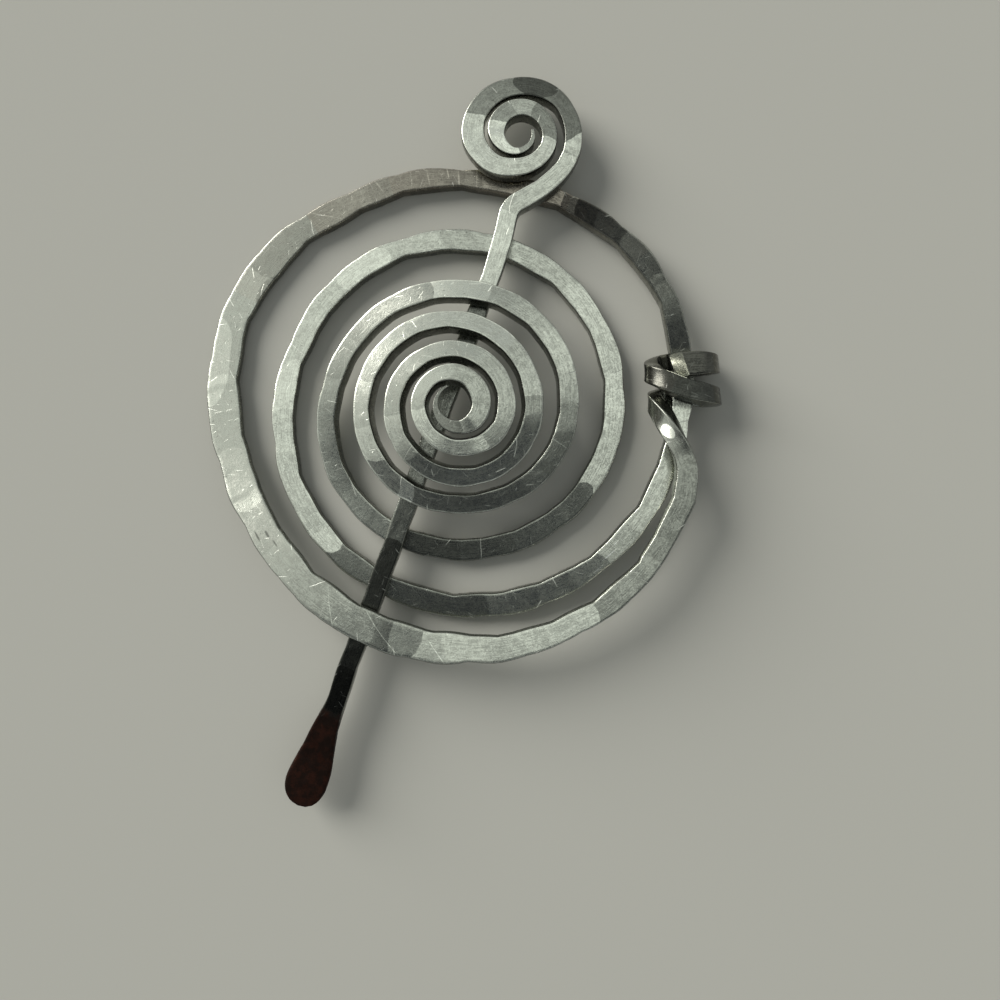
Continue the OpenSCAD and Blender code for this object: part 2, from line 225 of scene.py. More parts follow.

# Marks on the face. Columns: place along the wire, place across it as a share of the half width,
# half length and half width in millimetres, slant, how much brighter, tilt to the right and upward.
# The bright marks are partly painted highlights: polished spots and scratches painted brighter as they
# glint, the lens at 2349 and the oval at 2558 most of all. The dark ones are dents and a dark patch.
RING_MARKS = filled(8, [
    (2349, 0.8, 6.6, 2.9, 0, 1.25, -0.03), (2558, -0.1, 1.2, 0.8, 0, 1.9, -0.05, 0.1),
    (2328, -1.05, 2.9, 1.2, 0, 0.72), (2392, 0.5, 0.8, 0.14, 0.4, 0.4),
    (2394, -0.1, 0.7, 0.2, 0.6, 0.45), (2397, -0.2, 0.6, 0.13, 0.4, 0.5),
    (2417, 0.2, 0.07, 2, 0.9, 1.4, -0.05, 0.05), (2431, 0, 0.07, 2.4, 1.5, 1.7, -0.05, 0.05),
    (2444, 0.4, 0.07, 1.4, 0.9, 1.6, -0.05, 0.05), (2304, 0.1, 0.08, 1.2, 1.2, 1.6),
    (2265, 0.1, 0.09, 1.3, 0.1, 1.7), (2269.5, -0.2, 0.13, 1, 0.1, 2), (2272, 0.4, 0.08, 0.8, 0.2, 2.2),
    (2277, -0.1, 0.1, 1.1, 0.1, 1.6), (2289, 0.3, 0.1, 0.9, 0.3, 1.6), (2131, 0.5, 0.9, 0.06, 0, 2.2),
    (2136, 0.1, 1.1, 0.05, 0, 2.4), (2139, -0.3, 1.2, 0.05, 0, 1.8),
])


# Reading the tables

def smooth_row(table, x):
    """Reads a table at x with a smooth curve whose slope at each row comes from its neighbours."""
    last = len(table) - 1
    i = 0
    while i < last - 1 and table[i + 1][0] <= x:
        i += 1

    def slope(k, column):
        before, after = table[max(k - 1, 0)], table[min(k + 1, last)]
        return (after[column] - before[column]) / (after[0] - before[0])

    low, high = table[i], table[i + 1]
    span = high[0] - low[0]
    u = (x - low[0]) / span
    rise, fall = 3 * u**2 - 2 * u**3, 2 * u**3 - 3 * u**2 + 1
    leave, arrive = u**3 - 2 * u**2 + u, u**3 - u**2
    return [
        low[c] * fall + high[c] * rise + span * (slope(i, c) * leave + slope(i + 1, c) * arrive)
        for c in range(len(low))
    ]


def steps(start, stop, step):
    """Even steps from start to stop, both ends among them."""
    count = max(1, math.ceil((stop - start) / step))
    return [start + (stop - start) * k / count for k in range(count + 1)]


def thickness(width):
    """A wider band is a thinner one, because the wire keeps its own area."""
    return min(THICK_LIMIT, SECTION_AREA / (SECTION_FILL * width))


def blow_swell(angle):
    """How much a blow spreads the band: scallops with sharp valleys, at even lengths of wire."""
    share = (angle / WRAP_FROM) ** 2

    def scallop(count):
        return 2 * abs(math.sin(math.pi * count * share + math.pi / 4)) - 1.3

    return SPREAD_SHARE * (scallop(CLOSE_SCALLOPS) + 0.7 * scallop(WIDE_SCALLOPS)) / 3.5


def ring_swell(angle):
    """How far the brooch's edges are scalloped: little on the dome, most on the outer ring."""
    if angle > SWELL_END:
        return WRAP_SWELL
    share = min(max((angle - SWELL_FROM) / SWELL_OVER, 0), 1)
    return INNER_SWELL + ADDED_SWELL * share


def stick_swell(place):
    """How far the stick's edges are scalloped: evenly."""
    return STICK_SWELL


# Guides. A section is (middle, way its face looks, width, thickness), all in millimetres

def turn_section(angle):
    """A section of the brooch's turns."""
    _, radius, width, lift, tilt = smooth_row(TURNS, angle)
    turned, tilted = math.radians(angle), math.radians(tilt)
    outward = Vector((math.cos(turned), math.sin(turned), 0))
    thick = thickness(width)
    wide = width * (1 + blow_swell(angle))
    height = max(lift, 0) + thick / 2 * math.cos(tilted) + wide / 2 * abs(math.sin(tilted))
    lean = DOME_LEAN * (height - LEAN_FROM)
    middle = radius * outward + Vector((lean.x, lean.y, height))
    face = outward * math.sin(tilted) + Vector((0, 0, math.cos(tilted)))
    return middle, face, wide, thick


def wrap_section(i):
    """A section of the brooch's wrapped end, where i counts the rows of its table."""
    rows = [(k, *row) for k, row in enumerate(WRAP)]
    _, along, across, height, width, thick, turned, lean = smooth_row(rows, i)
    radius, angle, heading = WRAP_PLACE[0], math.radians(WRAP_PLACE[1]), math.radians(WRAP_HEADING)
    round_it, slant = math.radians(turned), math.tan(math.radians(lean))
    way = Vector((-math.sin(heading), math.cos(heading), 0))
    beside = Vector((math.cos(heading), math.sin(heading), 0))
    start = Vector((radius * math.cos(angle), radius * math.sin(angle), height))
    away = Vector((0, 0, math.cos(round_it))) - math.sin(round_it) * beside
    return start + along * way + across * beside, away + way * slant, width, thick


def shaft_section(place):
    """A section of the stick's shaft and neck."""
    _, beside, width, thick = smooth_row(SHAFT, place)
    return STICK_PLACE + Vector((beside, place, 0)), Vector((0, 0, 1)), width, thick


def head_section(angle):
    """A section of the stick's head."""
    _, radius, width = smooth_row(HEAD, angle)
    turned = math.radians(angle)
    x, y = HEAD_MIDDLE[0] + radius * math.cos(turned), HEAD_MIDDLE[1] + radius * math.sin(turned)
    return STICK_PLACE + Vector((x, y, 0)), Vector((0, 0, 1)), width, thickness(width)


def brooch_sections():
    """The brooch's sections, each after its place in the tables: the angle, and on past the ring's end."""
    angles = steps(TURNS[0][0], SMALL_TURNS_END, SMALL_TURN_STEP)[:-1]
    angles += steps(SMALL_TURNS_END, RING_END, TURN_STEP)
    rows = steps(0, len(WRAP) - 1, WRAP_STEP)
    turns = [(a, *turn_section(a)) for a in angles]
    return turns + [(WRAP_FROM + WRAP_PACE * i, *wrap_section(i)) for i in rows]


def stick_sections():
    """The stick's sections, each after its place in the tables: along the shaft, and on round the head."""
    shaft = [(y, *shaft_section(y)) for y in steps(SHAFT[0][0], SHAFT[-1][0], SHAFT_STEP)[:-1]]
    return shaft + [(HEAD_FROM + a, *head_section(a)) for a in steps(0, HEAD[-1][0], HEAD_STEP)]


# Facets

class WireLengths:
    """Turns a place in the tables into metres along the wire."""

    def __init__(self, sections):
        self.keys = [s[0] for s in sections]
        self.lengths = [0.0]
        for before, after in zip(sections, sections[1:]):
            self.lengths.append(self.lengths[-1] + (after[1] - before[1]).length * MM)

    def at(self, key):
        """How far along the wire a place in the tables is."""
        k = min(max(bisect.bisect_right(self.keys, key), 1), len(self.keys) - 1)
        share = (key - self.keys[k - 1]) / (self.keys[k] - self.keys[k - 1])
        return self.lengths[k - 1] + min(max(share, 0), 1) * (self.lengths[k] - self.lengths[k - 1])


def hammered_facets(table, lengths, seed):
    """The facets of a table in metres, the long ones broken up by blows that differ a little."""
    chance = random.Random(seed)

    def stray(limit):
        return chance.uniform(-limit, limit)

    facets = []
    starts = [lengths.at(row[0]) for row in table] + [lengths.lengths[-1]]
    for row, start, end in zip(table, starts, starts[1:]):
        bright, bulge, slant, upward, right, brown = row[1:]
        count = max(1, round((end - start) / (BLOW_PACE * MM)))
        for k in range(count):
            border = start
            if k:
                border = start + (end - start) * (k + stray(BORDER_CHANCE)) / count
                bulge, slant = stray(BULGE_CHANCE), stray(SLANT_CHANCE)
            facets.append((border, bulge * MM, slant * MM, bright * chance.uniform(*BRIGHT_CHANCE), brown,
                           right + stray(TILT_CHANCE), upward + stray(TILT_CHANCE)))
    return facets


def lay_facets(mesh, facets):
    """Gives every face of the mesh its nearest border, and the facets before and after it."""
    starts = [f[0] for f in facets]
    place = [0.0] * (3 * len(mesh.vertices))
    mesh.attributes["on_wire"].data.foreach_get("vector", place)
    values = {"border": [], "facet_tone": [], "tilt_before": [], "tilt_after": []}
    for polygon in mesh.polygons:
        along = sum(place[3 * v] for v in polygon.vertices) / len(polygon.vertices)
        k = min(max(bisect.bisect_right(starts, along) - 1, 0), len(starts) - 1)
        if k + 1 < len(starts) and along > (starts[k] + starts[k + 1]) / 2:
            k += 1
        before, after = facets[max(k - 1, 0)], facets[k]
        values["border"] += after[:3]
        is_cut_end = len(polygon.vertices) > 4
        if is_cut_end:
            values["facet_tone"] += [FRESH_BRIGHT, FRESH_BRIGHT, FRESH_CUT]
        else:
            values["facet_tone"] += [before[3], after[3], max(before[4], after[4])]
        for name, facet in (("tilt_before", before), ("tilt_after", after)):
            values[name] += list(facet[5] * RIGHT + facet[6] * UPWARD)
    for name, flat in values.items():
        mesh.attributes.new(name, "FLOAT_VECTOR", "FACE").data.foreach_set("vector", flat)


# Node trees

class Wiring:
    """Adds nodes to a tree and joins them, so that a rule reads in one line."""

    def __init__(self, tree):
        self.tree = tree

    def add(self, kind, inputs=None, **settings):
        node = self.tree.nodes.new(kind)
        for key, value in settings.items():
            setattr(node, key, value)
        for key, value in (inputs or {}).items():
            self.feed(node.inputs[key], value)
        return node

    def feed(self, socket, value):
        if isinstance(value, bpy.types.NodeSocket):
            self.tree.links.new(value, socket)
        else:
            socket.default_value = value

    def math(self, operation, *values):
        return self.add("ShaderNodeMath", dict(enumerate(values)), operation=operation).outputs[0]

    def plus(self, first, second):
        return self.math("ADD", first, second)

    def minus(self, first, second):
        return self.math("SUBTRACT", first, second)

    def times(self, first, second):
        return self.math("MULTIPLY", first, second)

    def vector(self, operation, first, second=None):
        node = self.add("ShaderNodeVectorMath", {0: first}, operation=operation)
        if second is not None:
            self.feed(node.inputs["Scale" if operation == "SCALE" else 1], second)
        return node.outputs["Value" if operation == "DOT_PRODUCT" else "Vector"]

    def combine(self, x, y, z=0.0):
        return self.add("ShaderNodeCombineXYZ", {"X": x, "Y": y, "Z": z}).outputs[0]

    def parts(self, vector):
        return self.add("ShaderNodeSeparateXYZ", {"Vector": vector}).outputs

    def fade(self, value, start, end, low=0.0, high=1.0):
        inputs = {"Value": value, "From Min": start, "From Max": end, "To Min": low, "To Max": high}
        return self.add("ShaderNodeMapRange", inputs, interpolation_type="SMOOTHSTEP").outputs[0]

    def noise(self, vector, scale, detail=2.0, roughness=0.5, distortion=0.0, output=0):
        inputs = {"Vector": vector, "Scale": scale, "Detail": detail, "Roughness": roughness,
                  "Distortion": distortion}
        return self.add("ShaderNodeTexNoise", inputs).outputs[output]

    def mix(self, factor, first, second):
        node = self.add("ShaderNodeMix", data_type="RGBA")
        self.feed(node.inputs[0], factor)
        self.feed(node.inputs[6], first)
        self.feed(node.inputs[7], second)
        return node.outputs[2]


def node_group(name, kind, inputs, outputs):
    """Turns a function that wires a node group into one that makes it once, and then finds it.

    An input is a name, a socket type and, for some, a default.
    """
    def turn(wire_up):
        def find_or_make():
            if name in bpy.data.node_groups:
                return bpy.data.node_groups[name]
            tree = bpy.data.node_groups.new(name, kind)
            for label, socket, *default in inputs:
                item = tree.interface.new_socket(label, in_out="INPUT", socket_type=socket)
                if default:
                    item.default_value = default[0]
            for label, socket in outputs:
                tree.interface.new_socket(label, in_out="OUTPUT", socket_type=socket)
            w = Wiring(tree)
            wire_up(w, w.add("NodeGroupInput").outputs, w.add("NodeGroupOutput").inputs)
            return tree
        return find_or_make
    return turn


FLOAT, VECTOR = "NodeSocketFloat", "NodeSocketVector"

# What sets the scallops of a band's right-hand edge apart from those of the left-hand one
OTHER_EDGE = 17.3

# How much of the blows on its face shows, the other way up, on a band's underside
UNDERSIDE_SHARE = -0.3


@node_group(
    "Hammered wire", "GeometryNodeTree",
    [("Guide", "NodeSocketGeometry"), ("Outline", "NodeSocketObject"),
     ("Step", FLOAT, 0.0004), ("Blow Length", FLOAT, 0.006), ("Blow Spread", FLOAT, 0.012),
     ("Blow Depth", FLOAT, 0.0001), ("Blow Slope", FLOAT, 0.03), ("Scallop Length", FLOAT, 0.007),
     ("Seed", FLOAT, 1.0), ("Metal", "NodeSocketMaterial")],
    [("Wire", "NodeSocketGeometry")])
def hammered_wire_tree(w, given, result):
    """Sweeps a band along its guide and lays hammer blows on its face."""

    def stored(geometry, name, value, data_type="FLOAT_VECTOR"):
        inputs = {"Geometry": geometry, "Name": name, "Value": value}
        return w.add("GeometryNodeStoreNamedAttribute", inputs, data_type=data_type).outputs[0]

    def named(name, data_type="FLOAT_VECTOR"):
        return w.add("GeometryNodeInputNamedAttribute", {"Name": name}, data_type=data_type).outputs[0]

    place = w.add("GeometryNodeInputPosition").outputs[0]
    rail = w.add("GeometryNodeMeshToCurve", {"Mesh": given["Guide"]}).outputs[0]
    rail = w.add("GeometryNodeResampleCurve", {"Curve": rail, "Length": given["Step"]},
                 mode="LENGTH").outputs[0]
    rail = stored(rail, "middle", place)
    rail = stored(rail, "run", w.add("GeometryNodeInputTangent").outputs[0])
    rail = stored(rail, "along", w.add("GeometryNodeSplineParameter").outputs["Length"], "FLOAT")
    outline = w.add("GeometryNodeObjectInfo", {"Object": given["Outline"]}).outputs["Geometry"]
    outline = w.add("GeometryNodeMeshToCurve", {"Mesh": outline}).outputs[0]
    outline = stored(outline, "outline", place)
    band = w.add("GeometryNodeCurveToMesh",
                 {"Curve": rail, "Profile Curve": outline, "Fill Caps": True}).outputs[0]

    # Axes of each section, and the point's own place on it
    run, along = named("run"), named("along", "FLOAT")
    side = w.vector("NORMALIZE", w.vector("CROSS_PRODUCT", run, named("face")))
    up = w.vector("CROSS_PRODUCT", side, run)
    share = w.parts(named("outline"))
    half_width = w.times(named("width", "FLOAT"), 0.5)
    across = w.times(share[0], half_width)

    # The blows spread each edge in scallops of its own, with sharp valleys between them
    other_edge = w.times(w.math("GREATER_THAN", share[0], 0.0), OTHER_EDGE)
    pace = w.math("DIVIDE", along, given["Scallop Length"])
    pace = w.plus(pace, w.plus(other_edge, given["Seed"]))
    scallop = w.add("ShaderNodeTexVoronoi", {"W": pace, "Scale": 1.0, "Randomness": 0.8},
                    voronoi_dimensions="1D")
    bulge = w.minus(0.3, w.times(w.math("POWER", scallop.outputs["Distance"], 2.0), 4.0))
    across = w.plus(across, w.times(bulge, w.times(share[0], named("swell", "FLOAT"))))
    rise = w.times(share[1], w.times(named("thickness", "FLOAT"), 0.5))

    # Each blow leaves a slightly hollow plane, and the lower of the two nearest planes is what shows
    spot = w.combine(w.math("DIVIDE", along, given["Blow Length"]),
                     w.math("DIVIDE", across, given["Blow Spread"]), given["Seed"])

    def blow_plane(feature):
        cell = w.add("ShaderNodeTexVoronoi", {"Vector": spot, "Scale": 1.0, "Randomness": 0.9},
                     feature=feature)
        chance = w.vector("SUBTRACT", cell.outputs["Color"], (0.5, 0.5, 0.5))
        slope = w.parts(w.vector("SCALE", chance, w.times(given["Blow Slope"], 2.0)))
        middle = w.times(w.parts(cell.outputs["Position"])[0], given["Blow Length"])
        tilted = w.plus(w.times(slope[0], across), w.times(slope[1], w.minus(along, middle)))
        hollow = w.times(given["Blow Depth"], w.math("POWER", cell.outputs["Distance"], 2.0))
        return w.plus(tilted, hollow)

    # The planes are let in until few of them stand above the face, and what still does is cut off
    face = w.math("MINIMUM", blow_plane("F1"), blow_plane("F2"))
    depth = w.times(half_width, w.times(given["Blow Slope"], 0.6))
    face = w.math("MINIMUM", w.minus(face, depth), 0.0)
    on_top = w.fade(share[1], 0.2, 1.0)
    under = w.fade(share[1], -0.2, -1.0)
    lowered = w.times(on_top, face)
    raised = w.times(w.times(under, face), UNDERSIDE_SHARE)
    rise = w.plus(rise, w.plus(lowered, raised))

    # A cut slants the wire's end: how far each point is set back along the run
    cut = w.parts(named("cut"))
    back = w.plus(w.times(cut[0], across), w.times(cut[1], rise))
    moved = w.vector("ADD", named("middle"), w.vector("SCALE", side, across))
    moved = w.vector("ADD", moved, w.vector("SCALE", up, rise))
    moved = w.vector("ADD", moved, w.vector("SCALE", run, back))
    band = stored(band, "on_wire", w.combine(along, across, share[1]))
    band = stored(band, "on_band", w.combine(share[0], share[1]))
    band = w.add("GeometryNodeSetPosition", {"Geometry": band, "Position": moved}).outputs[0]
    for name in ("middle", "run", "along", "outline", "face", "width", "thickness", "swell", "cut"):
        band = w.add("GeometryNodeRemoveAttribute", {"Geometry": band, "Name": name}).outputs[0]
    band = w.add("GeometryNodeSetShadeSmooth", {"Geometry": band}).outputs[0]
    band = w.add("GeometryNodeRealizeInstances", {"Geometry": band}).outputs[0]
    band = w.add("GeometryNodeSetMaterial", {"Geometry": band, "Material": given["Metal"]}).outputs[0]
    w.feed(result["Wire"], band)


# Shared effects of the finish. Place is the point's place along and across the wire in metres, and Band
# its place on the band's outline, where 1 is the edge

@node_group(
    "Scratches", "ShaderNodeTree",
    [("Place", VECTOR), ("Spacing", FLOAT, 0.003), ("Length", FLOAT, 0.5),
     ("Width", FLOAT, 0.02), ("Seed", FLOAT, 0.0)],
    [("Mask", FLOAT)])
def scratch_group(w, given, result):
    """One straight scratch in each cell of a scattered grid, each at its own angle."""
    spot = w.parts(w.vector("SCALE", given["Place"], w.math("DIVIDE", 1.0, given["Spacing"])))
    flat = w.combine(spot[0], spot[1], given["Seed"])
    bend = w.vector("SCALE", w.noise(flat, 0.8, output="Color"), 0.25)
    flat = w.vector("ADD", flat, bend)
    cell = w.add("ShaderNodeTexVoronoi", {"Vector": flat, "Scale": 1.0})
    chance = w.parts(cell.outputs["Color"])
    gone = w.parts(w.vector("SUBTRACT", flat, cell.outputs["Position"]))
    angle = w.times(chance[0], math.pi)
    cosine, sine = w.math("COSINE", angle), w.math("SINE", angle)
    along = w.plus(w.times(gone[0], cosine), w.times(gone[1], sine))
    beside = w.minus(w.times(gone[1], cosine), w.times(gone[0], sine))
    line = w.fade(w.math("ABSOLUTE", beside), given["Width"], 0.0)
    reach = w.times(given["Length"], chance[1])
    inside = w.fade(w.math("ABSOLUTE", along), reach, w.times(reach, 0.5))
    shown = w.fade(chance[2], 0.2, 0.8)
    w.feed(result["Mask"], w.times(w.times(line, inside), shown))


@node_group(
    "Hammered facets", "ShaderNodeTree",
    [("Place", VECTOR), ("Band", VECTOR), ("Border", VECTOR), ("Tone", VECTOR),
     ("Before", VECTOR), ("After", VECTOR), ("Object", VECTOR),
     ("Softness", FLOAT, 0.00005), ("Raggedness", FLOAT, 0.0006)],
    [("Bright", FLOAT), ("Brown", FLOAT), ("Tilt", VECTOR), ("Fresh", FLOAT)])
def facet_group(w, given, result):
    """Which of the two facets beside its nearest border a point is on, by a crisp curved border."""
    place, band, border = w.parts(given["Place"]), w.parts(given["Band"]), w.parts(given["Border"])
    tone = w.parts(given["Tone"])
    crown = w.minus(1.0, w.times(band[0], band[0]))
    curve = w.plus(w.times(border[1], crown), w.times(border[2], band[0]))
    past = w.minus(w.minus(place[0], border[0]), curve)
    ragged = w.minus(w.noise(given["Object"], 900.0, detail=3.0, roughness=0.6), 0.5)
    past = w.plus(past, w.times(ragged, given["Raggedness"]))
    after = w.fade(past, w.times(given["Softness"], -1.0), given["Softness"])
    on_top = w.fade(band[1], 0.9, 1.0)
    # How bright the point is painted: the facet's painted reflection and painted shade, with some dulling
    # of the metal.
    bright = w.plus(w.times(after, w.minus(tone[1], tone[0])), tone[0])
    turn = w.vector("SUBTRACT", given["After"], given["Before"])
    tilt = w.vector("ADD", given["Before"], w.vector("SCALE", turn, after))
    w.feed(result["Bright"], bright)
    w.feed(result["Brown"], w.math("MAXIMUM", tone[2], 0.0))
    w.feed(result["Tilt"], w.vector("SCALE", tilt, on_top))
    w.feed(result["Fresh"], w.math("MAXIMUM", w.times(tone[2], -1.0), 0.0))


@node_group(
    "Oval mark", "ShaderNodeTree",
    [("Place", VECTOR), ("Band", VECTOR), ("Along", FLOAT, 0.0), ("Across", FLOAT, 0.0),
     ("Half Length", FLOAT, 0.001), ("Half Width", FLOAT, 0.001), ("Slant", FLOAT, 0.0),
     ("Softness", FLOAT, 0.25)],
    [("Mask", FLOAT)])
def oval_group(w, given, result):
    """A crisp oval mark on the face of the wire."""
    place, band = w.parts(given["Place"]), w.parts(given["Band"])
    along = w.minus(place[0], w.times(place[1], given["Slant"]))
    along = w.math("DIVIDE", w.minus(along, given["Along"]), given["Half Length"])
    scale = w.math("DIVIDE", place[1], w.plus(band[0], 0.0001))
    across = w.times(w.minus(band[0], given["Across"]), scale)
    across = w.math("DIVIDE", across, given["Half Width"])
    away = w.math("SQRT", w.plus(w.times(along, along), w.times(across, across)))
    mask = w.fade(away, w.plus(1.0, given["Softness"]), w.minus(1.0, given["Softness"]))
    w.feed(result["Mask"], w.times(mask, w.fade(band[1], 0.9, 1.0)))


@node_group(
    "Planished grain", "ShaderNodeTree",
    [("Place", VECTOR), ("Object", VECTOR), ("Brushing", FLOAT, 0.5)],
    [("Smudge", FLOAT), ("Height", FLOAT), ("Wobble", VECTOR)])
def grain_group(w, given, result):
    """The cloudy satin of planished metal: smudges, fine grain with brushing along it, and a ripple."""
    place = w.parts(given["Place"])
    brushed = w.combine(w.times(place[0], 0.05), place[1], 0.0)
    lines = w.noise(brushed, 6000.0, detail=3.0, roughness=0.6)
    fine = w.noise(given["Object"], 2600.0, detail=3.0, roughness=0.6)
    cloud = w.noise(given["Object"], 1100.0, detail=5.0, roughness=0.7, distortion=0.6)
    speckle = w.noise(given["Object"], 4200.0, detail=2.0, roughness=0.7)
    smudge = w.plus(w.times(cloud, 0.35), w.times(lines, 0.35))
    w.feed(result["Smudge"], w.plus(smudge, w.times(speckle, 0.3)))
    w.feed(result["Height"], w.plus(w.times(lines, given["Brushing"]), fine))
    ripple = w.noise(given["Object"], 800.0, detail=3.0, roughness=0.6, output="Color")
    w.feed(result["Wobble"], w.vector("SUBTRACT", ripple, (0.5, 0.5, 0.5)))


# Colours of the metal where it is brown and where it is scratched, and the brightness of a band's walls,
# painted dark as painted shade at the sides of the bands and in the gaps between the turns
BROWNED = (0.66, 0.56, 0.46, 1.0)
SCRATCHED = (0.82, 0.84, 0.78, 1.0)
TIP_BROWN_DARK = (0.009, 0.003, 0.0012, 1.0)
TIP_BROWN_PALE = (0.026, 0.007, 0.003, 1.0)
WALL_PAINTED_SHADE = 0.32

# How far the ripple tilts the mirror, and how far a mark's edge fades, in millimetres
RIPPLE = 0.06
MARK_FADE = 0.07

# How far the grain lifts the surface, in metres
GRAIN_LIFT = 0.000035


def aluminium(name, colour, roughness, marks, brown_from=None):
    """Hammered aluminium. The last argument is the place along Y, in metres, past which the metal is brown.
    """
    material = bpy.data.materials.new(name)
    material.use_nodes = True
    w = Wiring(material.node_tree)
    shader = material.node_tree.nodes["Principled BSDF"]
    spot = w.add("ShaderNodeTexCoord").outputs["Object"]

    def carried(name):
        return w.add("ShaderNodeAttribute", attribute_name=name).outputs["Vector"]

    def effect(tree, **inputs):
        node = w.add("ShaderNodeGroup", node_tree=tree)
        for label, value in inputs.items():
            w.feed(node.inputs[label.replace("_", " ")], value)
        return node.outputs

    place, band = carried("on_wire"), carried("on_band")
    grain = effect(grain_group(), Place=place, Object=spot, Brushing=0.5)
    facet = effect(facet_group(), Place=place, Band=band, Object=spot, Border=carried("border"),
                   Tone=carried("facet_tone"), Before=carried("tilt_before"), After=carried("tilt_after"))
    fine = effect(scratch_group(), Place=place, Spacing=0.0016, Length=0.7, Width=0.035, Seed=3.0)[0]
    deep = effect(scratch_group(), Place=place, Spacing=0.0055, Length=0.6, Width=0.014, Seed=8.0)[0]
    pits = effect(scratch_group(), Place=place, Spacing=0.0024, Length=0.1, Width=0.05, Seed=12.0)[0]
    level = w.math("ABSOLUTE", w.parts(band)[1])
    scratched = w.math("MAXIMUM", w.times(fine, 0.4), deep)
    scratched = w.times(scratched, w.fade(level, 0.75, 0.95))

    dull = w.fade(grain["Smudge"], 0.4, 0.6)
    # Brightness of the metal: the facets' painted reflection and painted shade, and the walls and shoulders
    # of each band painted dark, a painted shade at its sides and between the turns, except on a cut end.
    painted_wall_shade = w.times(w.fade(level, 1.0, 0.94), w.minus(1.0, facet["Fresh"]))
    bright = w.fade(painted_wall_shade, 0.0, 1.0, facet["Bright"], WALL_PAINTED_SHADE)
    bright = w.times(bright, w.minus(1.19, w.times(dull, 0.48)))
    bright = w.times(bright, w.minus(1.0, w.times(pits, 0.5)))
    tilt = w.vector("ADD", facet["Tilt"], w.vector("SCALE", grain["Wobble"], RIPPLE))
    # The marks scale that brightness: the bright ones are painted highlights on polished spots and glinting
    # scratches, the dark ones dents and a dark patch.
    for along, across, length, width, slant, gain, right, upward in marks:
        softness = min(0.9, MARK_FADE * MM / min(length, width))
        mask = effect(oval_group(), Place=place, Band=band, Along=along, Across=across, Slant=slant,
                      Half_Length=length, Half_Width=width, Softness=softness)["Mask"]
        bright = w.times(bright, w.plus(1.0, w.times(mask, gain - 1)))
        tilt = w.vector("ADD", tilt, w.vector("SCALE", tuple(right * RIGHT + upward * UPWARD), mask))
    tint = w.vector("SCALE", w.mix(facet["Brown"], colour, BROWNED), bright)
    tint = w.mix(w.times(scratched, 0.5), tint, SCRATCHED)
    rough = w.plus(w.times(dull, 0.16), roughness)
    rough = w.plus(rough, w.times(scratched, 0.3))
    metallic = 1.0
    # Past the given place the stick's tip is coloured a blotchy dark brown, made rougher and less metallic.
    if brown_from is not None:
        ragged = w.times(w.noise(spot, 500.0, detail=4.0, roughness=0.6), 0.006)
        brown = w.fade(w.plus(w.parts(spot)[1], ragged), brown_from + 0.004, brown_from + 0.001)
        blotch = w.noise(spot, 700.0, detail=4.0, roughness=0.7)
        tint = w.mix(brown, tint, w.mix(w.fade(blotch, 0.4, 0.65), TIP_BROWN_DARK, TIP_BROWN_PALE))
        rough = w.plus(rough, w.times(brown, 0.25))
        metallic = w.minus(1.0, w.times(brown, 0.2))
    w.feed(shader.inputs["Base Color"], tint)
    w.feed(shader.inputs["Roughness"], rough)
    w.feed(shader.inputs["Metallic"], metallic)
    height = w.minus(grain["Height"], w.times(scratched, 1.5))
    upright = w.add("ShaderNodeNewGeometry").outputs["Normal"]
    tilted = w.vector("NORMALIZE", w.vector("ADD", upright, tilt))
    bump = {"Strength": 0.35, "Distance": GRAIN_LIFT, "Height": height, "Normal": tilted}
    w.feed(shader.inputs["Normal"], w.add("ShaderNodeBump", bump).outputs[0])
    return material


# Pieces

def outline_object(top_cells, under_cells):
    """The band's outline as a closed loop, anticlockwise when seen against the wire's run."""
    edge = SHOULDER[0][0]
    top = [(x, 1) for x in steps(-edge, edge, 2 * edge / top_cells)]
    under = [(x, -1) for x in steps(edge, -edge, -2 * edge / under_cells)]
    right = SHOULDER[1:] + [(x, -y) for x, y in reversed(SHOULDER[1:-1])]
    left = [(-x, y) for x, y in reversed(right)]
    loop = top + right + under + left
    mesh = bpy.data.meshes.new("outline")
    edges = [(k, (k + 1) % len(loop)) for k in range(len(loop))]
    mesh.from_pydata([(x, y, 0) for x, y in loop], edges, [])
    return bpy.data.objects.new("outline", mesh)


def guide_mesh(name, sections):
    """The wire's guide as a line of points that carry each section's sizes, swell and cut."""
    mesh = bpy.data.meshes.new(name)
    mesh.from_pydata([s[0] * MM for s in sections], [(k, k + 1) for k in range(len(sections) - 1)], [])
    for label, column in (("face", 1), ("cut", 5)):
        attribute = mesh.attributes.new(label, "FLOAT_VECTOR", "POINT")
        attribute.data.foreach_set("vector", [c for s in sections for c in s[column]])
    for label, column in (("width", 2), ("thickness", 3), ("swell", 4)):
        attribute = mesh.attributes.new(label, "FLOAT", "POINT")
        attribute.data.foreach_set("value", [s[column] * MM for s in sections])
    return mesh


